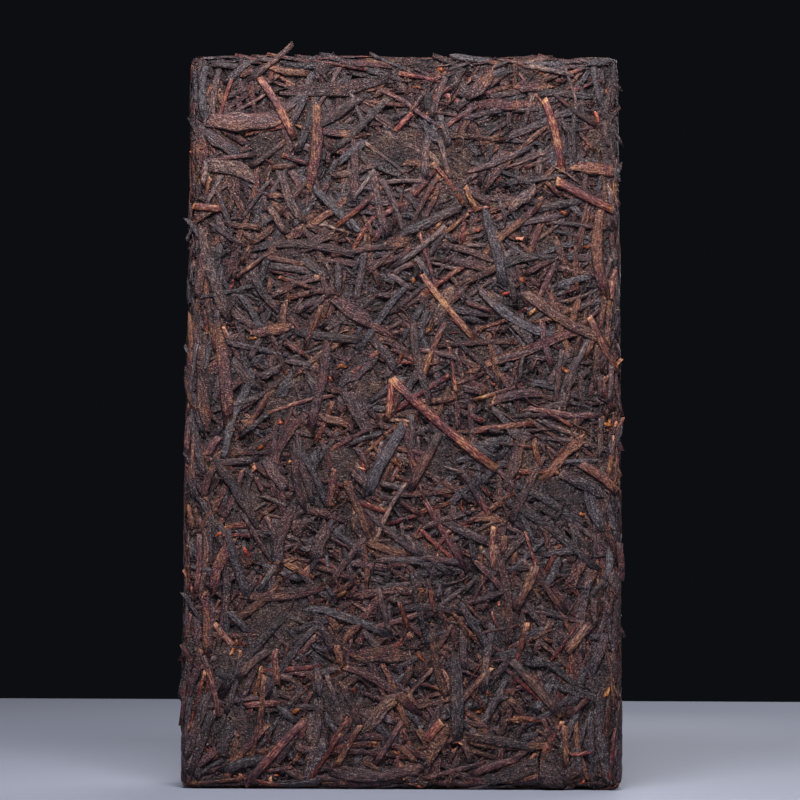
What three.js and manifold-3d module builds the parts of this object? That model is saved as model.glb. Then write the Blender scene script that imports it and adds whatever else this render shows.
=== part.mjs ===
// A pu-erh tea brick: about a kilogram of ripe tea steamed, pressed in a flat mould and dried.
// It stands on one short end. +Z is up, -Y is the front and the origin is the middle of the base.
// Rolled leaves, broad leaves and twigs lie flat in both large faces. Along the edges they run
// with the edge, as the mould's walls turn them. The brick is one solid: a worn slab with the
// largest pieces sunk into it, so that their upper halves stand out as relief.
import * as THREE from "three";
import { mergeVertices } from "three/addons/utils/BufferGeometryUtils.js";
import Module from "manifold-3d";

// The brick, in millimetres.
const WIDTH = 145;
const HEIGHT = 245;
const THICKNESS = 35;
const EDGE_RADIUS = 2.2; // how far the long edges are worn round
const RAGGED = 1.6; // how far a piece may stand out of the mould's line at the sides and the top
const TWIG_ABOVE_TOP = 4; // the one twig that sticks out of the top

// The slab that the pieces are sunk into. It lies this far inside the mould's walls.
const SLAB_INSET = 0.9;
const SLAB_STEPS = 3; // the two outer steps along each edge are its worn corners

// One leaf or twig is a rod with few sides and steps: the pieces that show best have more.
const SHOWN_ROD = { sides: 6, steps: 3 };
const LAID_ROD = { sides: 4, steps: 2 };

// Pieces laid by rule, one to a cell of each face's grid.
const CELLS = { front: [6, 10], back: [6, 10], side: [2, 9], top: [6, 2] };
const EDGE_BAND = 13; // nearer an edge than this, a piece runs along the edge
const CLEARANCE = 4; // no piece is laid by rule with its middle this near to one that stands out
const SEED = 7581;

// The pieces that stand out on the front: both ends as x and z on the face, then the width.
const TWIGS = [
  [-49, 237, -37, 216, 2.7], [-53, 236, -38, 249, 2.0], [-71, 193, -61, 192, 2.3], [47, 230, 53, 205, 2.7],
  [51, 202, 70, 192, 2.9], [31, 245, 41, 242, 1.4], [-4, 135, 31, 105, 3.0], [-5, 122, -4, 135, 2.0],
  [6, 170, 24, 148, 2.2], [69, 160, 71, 172, 2.0], [2, 98, 12, 117, 3.0], [19, 105, 29, 89, 2.0],
  [7, 95, 21, 72, 2.0], [30, 86, 30, 72, 1.8], [37, 59, 44, 73, 3.0], [-54, 36, -44, 45, 2.7],
  [-42, 45, -41, 34, 2.3], [-51, 1, -32, 22, 2.8], [54, 45, 62, 54, 3.0], [23, 5, 37, 10, 2.4],
  [8, 16, 13, 22, 3.0], [36, 42, 51, 25, 3.0], [59, 107, 71, 98, 3.0], [62, 156, 72, 137, 2.4],
];
const ROLLED_LEAVES = [
  [-32, 219, -15, 230, 3.7], [-36, 211, -29, 232, 2.8], [-42, 205, -34, 187, 3.3], [-17, 217, -17, 195, 2.7],
  [-11, 206, -5, 182, 2.8], [32, 201, 55, 204, 2.2], [-1, 184, 19, 193, 3.3], [43, 232, 64, 231, 2.4],
  [-69, 162, -67, 177, 3.0], [-38, 151, -14, 148, 2.8], [-11, 149, -2, 137, 3.0], [-31, 117, -25, 147, 3.4],
  [-57, 141, -48, 131, 3.0], [16, 175, 28, 172, 3.0], [29, 172, 46, 177, 2.8], [14, 180, 30, 175, 2.4],
  [-63, 108, -48, 86, 3.4], [-58, 85, -50, 61, 3.2], [36, 89, 46, 109, 2.8], [39, 92, 64, 72, 3.0],
  [13, 88, 28, 81, 3.0], [4, 81, 15, 71, 2.8], [-60, 30, -38, 57, 3.4], [-59, 6, -44, 10, 3.4],
  [-71, 10, -64, 31, 3.4], [-69, 4, -62, 25, 3.0], [19, 61, 30, 44, 2.8], [30, 44, 43, 44, 2.2],
  [21, 17, 42, 14, 3.4], [69, 199, 73, 185, 2.4], [62, 38, 67, 51, 3.4], [45, 44, 61, 32, 2.4],
];
const BROAD_LEAVES = [
  [-66, 222, -42, 222, 6.7], [-43, 232, -5, 237, 4.8], [-69, 220, -55, 210, 4.2], [21, 230, 30, 240, 4.8],
  [25, 228, 44, 228, 3.8], [57, 207, 72, 205, 4.2], [35, 192, 44, 200, 4.2], [-68, 185, -58, 154, 4.4],
  [-62, 153, -58, 120, 4.2], [-68, 139, -65, 117, 4.2], [-51, 150, -36, 153, 3.6], [-21, 133, -9, 142, 4.2],
  [22, 137, 62, 152, 3.4], [-72, 113, -68, 94, 3.2], [-46, 108, -39, 98, 4.2], [-29, 75, -25, 86, 4.8],
  [34, 100, 40, 118, 4.2], [46, 101, 60, 116, 3.2], [52, 104, 68, 96, 4.2], [-59, 11, -56, 23, 4.2],
  [-12, 19, -1, 31, 4.8], [17, 44, 18, 16, 4.8], [26, 2, 54, 12, 4.4], [45, 8, 53, 2, 7.4],
];

// Each kind's depth as a share of its width, the share of that depth that stands out of the slab,
// and how much further its ends dip in.
const KINDS = {
  twig: { depth: 0.85, shown: 0.72, dip: 0.1, taper: 0.1 },
  rolled: { depth: 0.6, shown: 0.7, dip: 0.35, taper: 0.35 },
  broad: { depth: 0.4, shown: 0.7, dip: 0.4, taper: 0.4 },
};
const LAID_LENGTH = [17, 34];
const LAID_WIDTH = [2.8, 4.8];

const wasm = await Module();
wasm.setup();

// Draws numbers between two limits. The same seed gives the same row of numbers.
function drawer(seed) {
  const modulus = 2147483647;
  let state = seed;
  return (low, high) => {
    state = (state * 48271) % modulus;
    return low + ((high - low) * state) / modulus;
  };
}

// A closed geometry as a manifold-3d solid.
function solidOf(geometry) {
  const bare = geometry.clone();
  bare.deleteAttribute("normal");
  bare.deleteAttribute("uv");
  const merged = mergeVertices(bare, 1e-4);
  return new wasm.Manifold(
    new wasm.Mesh({
      numProp: 3,
      vertProperties: merged.attributes.position.array,
      triVerts: new Uint32Array(merged.index.array),
    }),
  );
}

function geometryOf(solid) {
  const mesh = solid.getMesh();
  const geometry = new THREE.BufferGeometry();
  geometry.setAttribute("position", new THREE.BufferAttribute(new Float32Array(mesh.vertProperties), 3));
  geometry.setIndex(new THREE.BufferAttribute(new Uint32Array(mesh.triVerts), 1));
  geometry.computeVertexNormals();
  return geometry;
}

// Moves every vertex of a geometry by a rule that changes the point it is given.
function reshape(geometry, rule) {
  const position = geometry.attributes.position;
  const point = new THREE.Vector3();
  for (let i = 0; i < position.count; i++) {
    rule(point.fromBufferAttribute(position, i));
    position.setXYZ(i, point.x, point.y, point.z);
  }
  return geometry;
}

// The pressed slab: flat faces, worn edges and a flat base.
function slab() {
  const half = new THREE.Vector3(WIDTH / 2 - SLAB_INSET, THICKNESS / 2 - SLAB_INSET, (HEIGHT - SLAB_INSET) / 2);
  const inner = half.clone().addScalar(-EDGE_RADIUS);
  const box = new THREE.BoxGeometry(2 * half.x, 2 * half.y, 2 * half.z, SLAB_STEPS, SLAB_STEPS, SLAB_STEPS);
  const atEdge = (value, limit, start) => (Math.abs(value) < limit * 0.9 ? Math.sign(value) * start : value);
  const core = new THREE.Vector3();
  const outward = new THREE.Vector3();
  return reshape(box, (point) => {
    point.set(
      atEdge(point.x, half.x, inner.x),
      atEdge(point.y, half.y, inner.y),
      atEdge(point.z, half.z, inner.z),
    );
    const onBase = point.z === -half.z;
    core.copy(point).clamp(inner.clone().negate(), inner);
    outward.subVectors(point, core).normalize();
    point.copy(core).addScaledVector(outward, EDGE_RADIUS);
    if (onBase) point.z = -half.z;
    point.z += half.z;
  });
}

// One piece lying on a face. `at` turns (u, v, height) on the face into a point of the brick.
function piece(at, { u, v, angle, length, width, bow, kind, form }) {
  const { depth, shown, dip, taper } = KINDS[kind];
  const flatUp = form.sides === 6;
  const rod = new THREE.CylinderGeometry(1, 1, 1, form.sides, form.steps, false, flatUp ? Math.PI / 6 : 0);
  const crown = flatUp ? Math.cos(Math.PI / 6) : 1;
  return reshape(rod, (point) => {
    const along = point.y; // from -0.5 at one end to 0.5 at the other
    const outOfMiddle = 4 * along * along;
    const slimming = 1 - taper * outOfMiddle;
    const across = (point.x * width * slimming) / 2 + bow * length * (1 - outOfMiddle);
    const sunk = 0.5 - shown + dip * outOfMiddle;
    const height = width * depth * ((point.z / crown) * 0.5 * slimming - sunk);
    const s = along * length;
    const overU = s * Math.cos(angle) + across * Math.sin(angle);
    const overV = s * Math.sin(angle) - across * Math.cos(angle);
    at(point, u + overU, v + overV, height);
  });
}

// The faces of the slab, each with its middle at u = v = 0 and v pointing up or to the back.
const FACES = {
  front: {
    size: [WIDTH, HEIGHT],
    at: (point, u, v, h) => point.set(u, -(THICKNESS / 2 - SLAB_INSET) - h, v + HEIGHT / 2),
  },
  back: {
    size: [WIDTH, HEIGHT],
    at: (point, u, v, h) => point.set(-u, THICKNESS / 2 - SLAB_INSET + h, v + HEIGHT / 2),
  },
  right: {
    size: [THICKNESS, HEIGHT],
    at: (point, u, v, h) => point.set(WIDTH / 2 - SLAB_INSET + h, u, v + HEIGHT / 2),
  },
  left: {
    size: [THICKNESS, HEIGHT],
    at: (point, u, v, h) => point.set(-(WIDTH / 2 - SLAB_INSET) - h, -u, v + HEIGHT / 2),
  },
  top: {
    size: [WIDTH, THICKNESS],
    at: (point, u, v, h) => point.set(u, v, HEIGHT - SLAB_INSET + h),
  },
};

// A piece from one end to the other, both given as x and z on the front.
function shownPiece(kind, [x0, z0, x1, z1, width], draw) {
  return piece(FACES.front.at, {
    u: (x0 + x1) / 2,
    v: (z0 + z1) / 2 - HEIGHT / 2,
    angle: Math.atan2(z1 - z0, x1 - x0),
    length: Math.hypot(x1 - x0, z1 - z0),
    width,
    bow: draw(-0.05, 0.05),
    kind,
    form: SHOWN_ROD,
  });
}

// How far a place on the front is from the nearest piece that stands out there.
function distanceToShown(u, v) {
  const place = new THREE.Vector3(u, v + HEIGHT / 2, 0);
  const nearest = new THREE.Vector3();
  const distances = [...BROAD_LEAVES, ...ROLLED_LEAVES, ...TWIGS].map(([x0, z0, x1, z1]) => {
    const line = new THREE.Line3(new THREE.Vector3(x0, z0, 0), new THREE.Vector3(x1, z1, 0));
    return line.closestPointToPoint(place, true, nearest).distanceTo(place);
  });
  return Math.min(...distances);
}

// Lays one piece in each cell of a face's grid, turned along the edge where an edge is near.
function laidPieces(face, [columns, rows], seed, longWay) {
  const draw = drawer(seed);
  const [wide, tall] = FACES[face].size;
  const pieces = [];
  for (let row = 0; row < rows; row++) {
    for (let column = 0; column < columns; column++) {
      const length = draw(...LAID_LENGTH);
      const width = draw(...LAID_WIDTH);
      let u = ((column + draw(0.2, 0.8)) / columns - 0.5) * wide;
      let v = ((row + draw(0.2, 0.8)) / rows - 0.5) * tall;
      let angle = draw(0, Math.PI);
      const besideEdge = wide / 2 - Math.abs(u) < EDGE_BAND;
      const belowEdge = tall / 2 - Math.abs(v) < EDGE_BAND;
      if (longWay === "v" || (besideEdge && longWay !== "u")) angle = Math.PI / 2 + draw(-0.2, 0.2);
      else if (longWay === "u" || belowEdge) angle = draw(-0.25, 0.25);
      const reachU = (Math.abs(Math.cos(angle)) * length + width) / 2 + 0.5;
      const reachV = (Math.abs(Math.sin(angle)) * length + width) / 2 + 0.5;
      u = THREE.MathUtils.clamp(u, -wide / 2 + reachU, wide / 2 - reachU);
      v = THREE.MathUtils.clamp(v, -tall / 2 + reachV, tall / 2 - reachV);
      const kind = draw(0, 1) < 0.3 ? "broad" : "rolled";
      const bow = draw(-0.09, 0.09);
      if (face === "front" && distanceToShown(u, v) < CLEARANCE) continue;
      pieces.push(piece(FACES[face].at, { u, v, angle, length, width, bow, kind, form: LAID_ROD }));
    }
  }
  return pieces;
}

function brick() {
  const draw = drawer(SEED);
  const pieces = [
    ...laidPieces("front", CELLS.front, SEED + 1),
    ...laidPieces("back", CELLS.back, SEED + 2),
    ...laidPieces("right", CELLS.side, SEED + 3, "v"),
    ...laidPieces("left", CELLS.side, SEED + 4, "v"),
    ...laidPieces("top", CELLS.top, SEED + 5, "u"),
    ...BROAD_LEAVES.map((row) => shownPiece("broad", row, draw)),
    ...ROLLED_LEAVES.map((row) => shownPiece("rolled", row, draw)),
    ...TWIGS.map((row) => shownPiece("twig", row, draw)),
  ];
  const joined = pieces.reduce((whole, one) => whole.add(solidOf(one)), solidOf(slab()));
  const mould = new THREE.BoxGeometry(WIDTH + 2 * RAGGED, THICKNESS + 2 * RAGGED, HEIGHT + TWIG_ABOVE_TOP);
  mould.translate(0, 0, (HEIGHT + TWIG_ABOVE_TOP) / 2);
  const trimmed = joined.intersect(solidOf(mould));
  const whole = trimmed.decompose().sort((a, b) => b.volume() - a.volume())[0];
  const material = new THREE.MeshStandardMaterial({ color: 0x4a3b3b, roughness: 0.75, metalness: 0 });
  const mesh = new THREE.Mesh(geometryOf(whole), material);
  mesh.name = "tea_brick";
  return mesh;
}

const group = new THREE.Group();
group.add(brick());

export default group;
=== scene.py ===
# %% [markdown]
# A brick of ripe pu erh tea: about a kilogram of leaf, steamed soft, pressed in a flat wooden mould
# and dried. It stands on a short end. Everything here is placed in the frame of the imported model,
# so the frame is loaded first.

# %% Load the frame
import math
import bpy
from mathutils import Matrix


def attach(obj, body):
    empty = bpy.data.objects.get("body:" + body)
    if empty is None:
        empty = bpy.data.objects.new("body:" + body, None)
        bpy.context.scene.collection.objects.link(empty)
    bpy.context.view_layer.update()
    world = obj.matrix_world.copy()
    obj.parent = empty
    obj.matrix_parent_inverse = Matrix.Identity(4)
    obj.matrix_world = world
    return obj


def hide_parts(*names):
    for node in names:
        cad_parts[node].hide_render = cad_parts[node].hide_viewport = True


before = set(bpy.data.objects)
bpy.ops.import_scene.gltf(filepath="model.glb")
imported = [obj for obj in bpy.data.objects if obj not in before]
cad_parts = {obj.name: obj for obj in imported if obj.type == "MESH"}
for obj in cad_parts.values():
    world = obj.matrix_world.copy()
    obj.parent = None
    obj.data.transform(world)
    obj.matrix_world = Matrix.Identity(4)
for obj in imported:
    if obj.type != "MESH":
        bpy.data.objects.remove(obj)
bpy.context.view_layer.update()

from types import SimpleNamespace

import bmesh
import bpy
import numpy as np
from mathutils import Matrix, Vector
from mathutils import noise as smooth_noise

# %% [markdown]
# Leaves are easier to think of in millimetres, and Blender's unit is the metre. So every size below
# is in millimetres, and the one place that makes a mesh multiplies by MM.

# %% The brick's sizes
MM = 0.001
WIDTH = 145.0
THICKNESS = 35.0
HEIGHT = 245.0
ARRIS = 3.0  # the long edges are worn round by this radius
print("brick", WIDTH, "by", THICKNESS, "by", HEIGHT, "mm")

# %% [markdown]
# The camera stands low and looks slightly up, so the sides of the brick close in towards the top. A
# long lens keeps that small. It is turned by a fraction of a degree, as one held by hand often is.

# %% Camera
CAMERA_DISTANCE = 680.0  # from the front face
CAMERA_HEIGHT = 62.0
CAMERA_LEFT = 1.1
TILT_UP = math.radians(5.53)
ROLL = math.radians(0.27)
SENSOR = 36.0
LENS = 92.5

camera_data = bpy.data.cameras.new("camera")
camera_data.sensor_width = SENSOR
camera_data.lens = LENS
camera_data.clip_start = 0.05
camera_data.clip_end = 100
camera = bpy.data.objects.new("camera", camera_data)
camera_place = Vector((-CAMERA_LEFT, -THICKNESS / 2 - CAMERA_DISTANCE, CAMERA_HEIGHT)) * MM
camera.matrix_world = (
    Matrix.Translation(camera_place)
    @ Matrix.Rotation(math.pi / 2 + TILT_UP, 4, "X")
    @ Matrix.Rotation(ROLL, 4, "Z")
)
bpy.context.scene.collection.objects.link(camera)
bpy.context.scene.camera = camera
print("camera at", tuple(round(c, 3) for c in camera_place), "with a lens of", round(LENS), "mm")

# %% [markdown]
# Each of the six faces is a flat sheet with its own across and up directions. A leaf is laid out on
# it with two numbers and a height above the mould's wall. Near an edge the sheet turns round the worn
# arris, so a leaf there bends over it. A stiff stray doesn't, and sticks out.

# %% The six faces
FACES = {
    name: {"size": size, "middle": middle, "across": across, "up": up}
    for name, size, middle, across, up in (
        ("front", (WIDTH, HEIGHT), (0, -THICKNESS / 2, HEIGHT / 2), (1, 0, 0), (0, 0, 1)),
        ("back", (WIDTH, HEIGHT), (0, THICKNESS / 2, HEIGHT / 2), (-1, 0, 0), (0, 0, 1)),
        ("right", (THICKNESS, HEIGHT), (WIDTH / 2, 0, HEIGHT / 2), (0, 1, 0), (0, 0, 1)),
        ("left", (THICKNESS, HEIGHT), (-WIDTH / 2, 0, HEIGHT / 2), (0, -1, 0), (0, 0, 1)),
        ("top", (WIDTH, THICKNESS), (0, 0, HEIGHT), (1, 0, 0), (0, 1, 0)),
        ("base", (WIDTH, THICKNESS), (0, 0, 0), (1, 0, 0), (0, -1, 0)),
    )
}


def turned_round_edge(distance, half):
    """Where a point this far from a face's middle comes to lie, how far it drops and how it tilts."""
    over = np.clip(np.abs(distance) - (half - ARRIS), 0, None)
    tilt = np.minimum(over / ARRIS, math.pi / 2)
    past = np.clip(over - ARRIS * math.pi / 2, 0, None)
    place = np.minimum(np.abs(distance), half - ARRIS) + ARRIS * np.sin(tilt)
    drop = ARRIS * (1 - np.cos(tilt)) + past
    return np.sign(distance) * place, drop, np.sign(distance) * tilt


def on_face(face, u, v, height, stiff=False):
    """Points of the brick for places (u, v) on a face and heights above its mould wall."""
    wide, tall = np.array(FACES[face]["size"]) + (1000 if stiff else 0)
    across = np.array(FACES[face]["across"], float)
    up = np.array(FACES[face]["up"], float)
    out = np.cross(across, up)
    place_u, drop_u, tilt_u = turned_round_edge(u, wide / 2)
    place_v, drop_v, tilt_v = turned_round_edge(v, tall / 2)
    outward = np.cos(tilt_u) * np.cos(tilt_v)
    normal = outward[..., None] * out
    normal = normal + np.sin(tilt_u)[..., None] * across + np.sin(tilt_v)[..., None] * up
    normal /= np.linalg.norm(normal, axis=-1, keepdims=True)
    points = (
        np.array(FACES[face]["middle"], float)
        + place_u[..., None] * across
        + place_v[..., None] * up
        - (drop_u + drop_v)[..., None] * out
        + height[..., None] * normal
    )
    points[..., 2] = np.maximum(points[..., 2], 0)
    return points


print("faces:", ", ".join(FACES))

# %% [markdown]
# Under the whole leaves lies a mass of broken bits and dust. In some patches it comes up to the
# mould's wall. One smooth noise gives the patches and a finer one their crumbly skin.

# %% Height of the matted leaf
HOLLOW = 2.4  # how deep the mass lies where whole leaves cover it
BARE = 0.3  # how deep it lies where it comes to the surface
PATCH = 17.0  # how large the bare patches are
PATCH_LEVEL, PATCH_EDGE = 0.18, 1.9  # where a patch begins, and how steeply
GRAIN = 2.6  # how large the lumps of its skin are
GRAIN_HEIGHT = 0.25


def noise_at(points, size, offset):
    """Smooth noise from about -1 to 1 at each point, with lumps of a size in millimetres."""
    flat = points.reshape(-1, 3) / size + offset
    return np.array([smooth_noise.noise(Vector(p)) for p in flat]).reshape(points.shape[:-1])


def matted_height(points):
    patch = np.clip(0.5 + PATCH_EDGE * (noise_at(points, PATCH, 3.7) - PATCH_LEVEL), 0, 1)
    return -HOLLOW + (HOLLOW - BARE) * patch + GRAIN_HEIGHT * noise_at(points, GRAIN, 8.1)


# %% [markdown]
# A pressed brick fills up: a leaf lands where there is still a hollow, and the press flattens what
# would stand out of the mould. So each face keeps a map of how high the leaves reach so far. A leaf
# reads from it what it lies on, and then writes its own back into it.

# %% Map of how high the leaves reach
CELL = 0.7
MARGIN = 4.0  # the map runs on past the face's edge, for leaves that bend over it


class Relief:
    def __init__(self, face):
        wide, tall = FACES[face]["size"]
        self.reach = np.array([wide, tall]) / 2 + MARGIN
        columns, rows = (2 * self.reach / CELL).astype(int) + 1
        u, v = np.meshgrid(np.arange(columns) * CELL, np.arange(rows) * CELL, indexing="ij")
        wall = on_face(face, u - self.reach[0], v - self.reach[1], np.zeros(u.shape))
        self.height = matted_height(wall)

    def cells(self, u, v):
        sides = zip((u, v), self.reach, self.height.shape)
        return tuple(np.clip(np.round((w + reach) / CELL).astype(int), 0, n - 1) for w, reach, n in sides)

    def read(self, u, v):
        return self.height[self.cells(u, v)]

    def write(self, u, v, height):
        np.maximum.at(self.height, self.cells(u, v), height)

    def smoothed(self, u, v):
        """The mean height round each place, in a window about three millimetres wide."""
        height = self.height
        for axis in (0, 1, 0, 1):
            height = (height + np.roll(height, 1, axis) + np.roll(height, -1, axis)) / 3
        return height[self.cells(u, v)]


reliefs = {face: Relief(face) for face in FACES}
print("relief cells:", sum(r.height.size for r in reliefs.values()))

# %% [markdown]
# Every leaf and twig starts from one rod: a cone tool with equal ends makes a prism, a plane cuts its
# underside flat, and its long edges are subdivided so that it can bend. The faces aren't smoothed,
# because a dry leaf is creased. Arrays hold the rod's numbers, so thousands of copies bend quickly.

# %% Templates
def template(bm):
    """The vertices of a small mesh, and its faces as lists of corners and their counts."""
    bm.verts.index_update()
    corners = [v.index for f in bm.faces for v in f.verts]
    counts = [len(f.verts) for f in bm.faces]
    points = np.array([v.co for v in bm.verts])
    bm.free()
    return {"points": points, "corners": np.array(corners), "counts": np.array(counts)}


def rod(sides, steps, floor=-0.3):
    """A prism of radius 1 from z = -0.5 to 0.5, cut flat below y = `floor`."""
    bm = bmesh.new()
    bmesh.ops.create_cone(bm, cap_ends=True, segments=sides, radius1=1, radius2=1, depth=1)
    whole = bm.verts[:] + bm.edges[:] + bm.faces[:]
    bmesh.ops.bisect_plane(bm, geom=whole, plane_co=(0, floor, 0), plane_no=(0, -1, 0), clear_outer=True)
    bmesh.ops.holes_fill(bm, edges=bm.edges[:])
    bmesh.ops.recalc_face_normals(bm, faces=bm.faces[:])
    long_edges = [e for e in bm.edges if abs(e.verts[0].co.z - e.verts[1].co.z) > 0.5]
    bmesh.ops.subdivide_edges(bm, edges=long_edges, cuts=steps - 1)
    return template(bm)


LEAF_ROD = rod(10, 5)
CHIP_ROD = rod(6, 2)
FIBRE_ROD = rod(4, 4)
CRUMB_ROD = rod(5, 1)
print("faces in a leaf", len(LEAF_ROD["counts"]), "and in a crumb", len(CRUMB_ROD["counts"]))

# %% [markdown]
# Copies are collected in heaps. Each vertex also carries attributes for the materials: `fibre` holds
# its place along and across its own leaf in millimetres, and how near it is to an end. `tone` says
# how dark or bright this leaf is, with painted shade in it where it lies deep, at its sides and in the
# core's hollows, and `hue` how red: 0 is slate and 1 is maroon.

# %% Heaps of copies
def new_object(name, mesh):
    thing = bpy.data.objects.new(name, mesh)
    bpy.context.scene.collection.objects.link(thing)
    return thing


class Heap:
    def __init__(self, name, slot):
        self.name = name
        self.slot = slot
        self.points, self.fibre, self.tone, self.hue = [], [], [], []
        self.corners, self.counts = [], []
        self.total = 0

    def add(self, shape, points, fibre, tone, hue):
        self.points.append(points)
        self.fibre.append(fibre)
        self.tone.append(tone)
        self.hue.append(np.full(len(points), hue))
        self.corners.append(shape["corners"] + self.total)
        self.counts.append(shape["counts"])
        self.total += len(points)

    def piece(self):
        counts = np.concatenate(self.counts)
        mesh = bpy.data.meshes.new(self.name)
        mesh.vertices.add(self.total)
        mesh.vertices.foreach_set("co", (np.concatenate(self.points) * MM).ravel())
        mesh.loops.add(int(counts.sum()))
        mesh.polygons.add(len(counts))
        mesh.polygons.foreach_set("loop_start", np.cumsum(counts) - counts)
        mesh.polygons.foreach_set("vertices", np.concatenate(self.corners))
        mesh.update(calc_edges=True)
        fibre = mesh.attributes.new("fibre", "FLOAT_VECTOR", "POINT")
        fibre.data.foreach_set("vector", np.concatenate(self.fibre).ravel())
        for name, values in (("tone", self.tone), ("hue", self.hue)):
            mesh.attributes.new(name, "FLOAT", "POINT").data.foreach_set("value", np.concatenate(values))
        thing = new_object(self.name, mesh)
        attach(thing, "root")
        print(self.name, "has", len(self.counts), "pieces and", int((counts - 2).sum()), "triangles")
        return thing


# %% [markdown]
# A strip is one leaf or twig on a face. It bows to one side, wavers a little, and narrows to its ends.
# A place on it is given by how far along it lies, from -0.5 to 0.5, and how far across, from -1 to 1.

# %% Outline of a strip
WAVERS, WAVES = 2.3, 1.3  # how many waves of its width and of its middle lie along a strip


def half_width(strip, along):
    start = np.clip(-2 * along, 0, None) ** 3
    end = np.clip(2 * along, 0, None) ** 3
    waver = 1 + strip.waver * np.sin(WAVERS * math.tau * along + strip.phase)
    return strip.width / 2 * (1 - strip.taper[0] * start - strip.taper[1] * end) * waver


def track(strip, along, across):
    """Where points of a strip lie on its face."""
    length = strip.length
    side = across * half_width(strip, along) + strip.bow * length * (1 - 4 * along**2)
    side = side + strip.wave * np.sin(WAVES * math.tau * along + strip.phase)
    turn = strip.angle
    u = strip.u + length * along * math.cos(turn) + side * math.sin(turn)
    v = strip.v + length * along * math.sin(turn) - side * math.cos(turn)
    return u, v


# %% [markdown]
# Then the strip sags on what the map shows at nine stations along it. A soft leaf follows each hump, a
# stiff twig spans the gaps, and the press lets neither stand out further than its limit.

# %% Settling a strip
STATIONS = np.linspace(-0.5, 0.5, 9)
TIP_THIN = 0.35  # this share of its thickness is lost at the tips
MASHED = 0.28  # a leaf is never pressed thinner than this share of its thickness
MARK_STEP = 0.5  # how close the places are at which its back is written


def settle(strip, relief):
    """Gives a strip the heights of its underside and its back at each station."""
    beds = [relief.read(*track(strip, STATIONS, across)) for across in (-0.75, 0.0, 0.75)]
    bed = (np.mean(beds, axis=0) + np.max(beds, axis=0)) / 2
    for _ in range(2):
        bed = np.convolve(np.pad(bed, 1, mode="edge"), [0.25, 0.5, 0.25], mode="valid")
    bed = bed + strip.stiff * (bed.max() - bed) - strip.sink
    limit = strip.limit - strip.dip * (2 * STATIONS) ** 4
    thickness = strip.thick * (1 - TIP_THIN * (2 * STATIONS) ** 4)
    strip.back = np.minimum(bed + thickness, limit)
    strip.under = np.minimum(bed, strip.back - MASHED * thickness)


def mark(strip, relief):
    along, across = np.meshgrid(
        np.linspace(-0.5, 0.5, int(strip.length / MARK_STEP) + 2),
        np.linspace(-0.92, 0.92, int(strip.width / MARK_STEP) + 2),
    )
    u, v = track(strip, along, across)
    back = np.interp(along, STATIONS, strip.back)
    under = np.interp(along, STATIONS, strip.under)
    relief.write(u, v, under + (back - under) * (0.6 + 0.4 * np.sqrt(1 - across**4)))


# %% [markdown]
# Now the rod's points are bent to the settled strip. Its back is domed and ridged, its ends are torn
# and flattened, and each point is moved a little at random, because dried leaf is never smooth.

# %% Bending the rod
# Painted shade: a leaf's tone is darkened the deeper it lies and lightened a little where it stands out, and
# its sides are darkened for the shadow in the seam.
DEEP_PAINTED_SHADE = 0.14  # how much darker a leaf is for each millimetre that it lies deeper
SIDE_PAINTED_SHADE = 0.36  # how much darker its sides are, where dust and shadow fill the seam
GRAIN_RANGE = 400  # each leaf's grain starts somewhere in this many millimetres of pattern


def bent_rod(strip, face, draw, shape):
    """The rod's points bent to a settled strip, with the grain of each and its tone, in which shade is
    painted.
    """
    x, y, along = shape["points"].T
    across = np.sign(x) * np.abs(x) ** 0.5
    back = np.interp(along, STATIONS, strip.back)
    under = np.interp(along, STATIONS, strip.under)
    ridge = np.interp(x, [-0.9, -0.3, 0.3, 0.9], strip.ridges)
    rise = np.where(y > 0.1, np.abs(y) ** strip.crown * ridge, y)
    end = 1 - 0.45 * np.abs(2 * along) ** 8
    height = (back + under) / 2 + (back - under) / 2 * rise * end
    height = height + strip.twist * across * along * strip.width
    torn = strip.torn[0] * np.clip(-2 * along, 0, None) ** 6
    torn = torn + strip.torn[1] * np.clip(2 * along, 0, None) ** 6
    u, v = track(strip, along + across * torn * strip.width / strip.length, across)
    u = u + draw.normal(scale=strip.rough, size=u.shape)
    v = v + draw.normal(scale=strip.rough, size=v.shape)
    height = height + draw.normal(scale=strip.rough * 0.6, size=u.shape)
    grain = draw.uniform(0, GRAIN_RANGE)
    around = np.arctan2(y, x) * strip.width / 2
    fibre = np.stack([along * strip.length + grain, around + grain, np.abs(2 * along)], axis=-1)
    # Painted shade in the tone: darker for a deep leaf, lighter for one that stands out, and darker at its
    # sides.
    depth = min(float(strip.back.mean()), 0.3)
    tone = strip.tone + DEEP_PAINTED_SHADE * depth - SIDE_PAINTED_SHADE * np.clip(1 - y / 0.75, 0, 1)
    return on_face(face, u, v, height, strip.stray), fibre, tone


# %% [markdown]
# Each kind of piece has its own habit, given below by one row for each trait and one value for each
# kind. A pair is the least and the most of a random draw, except for the tone.

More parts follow.
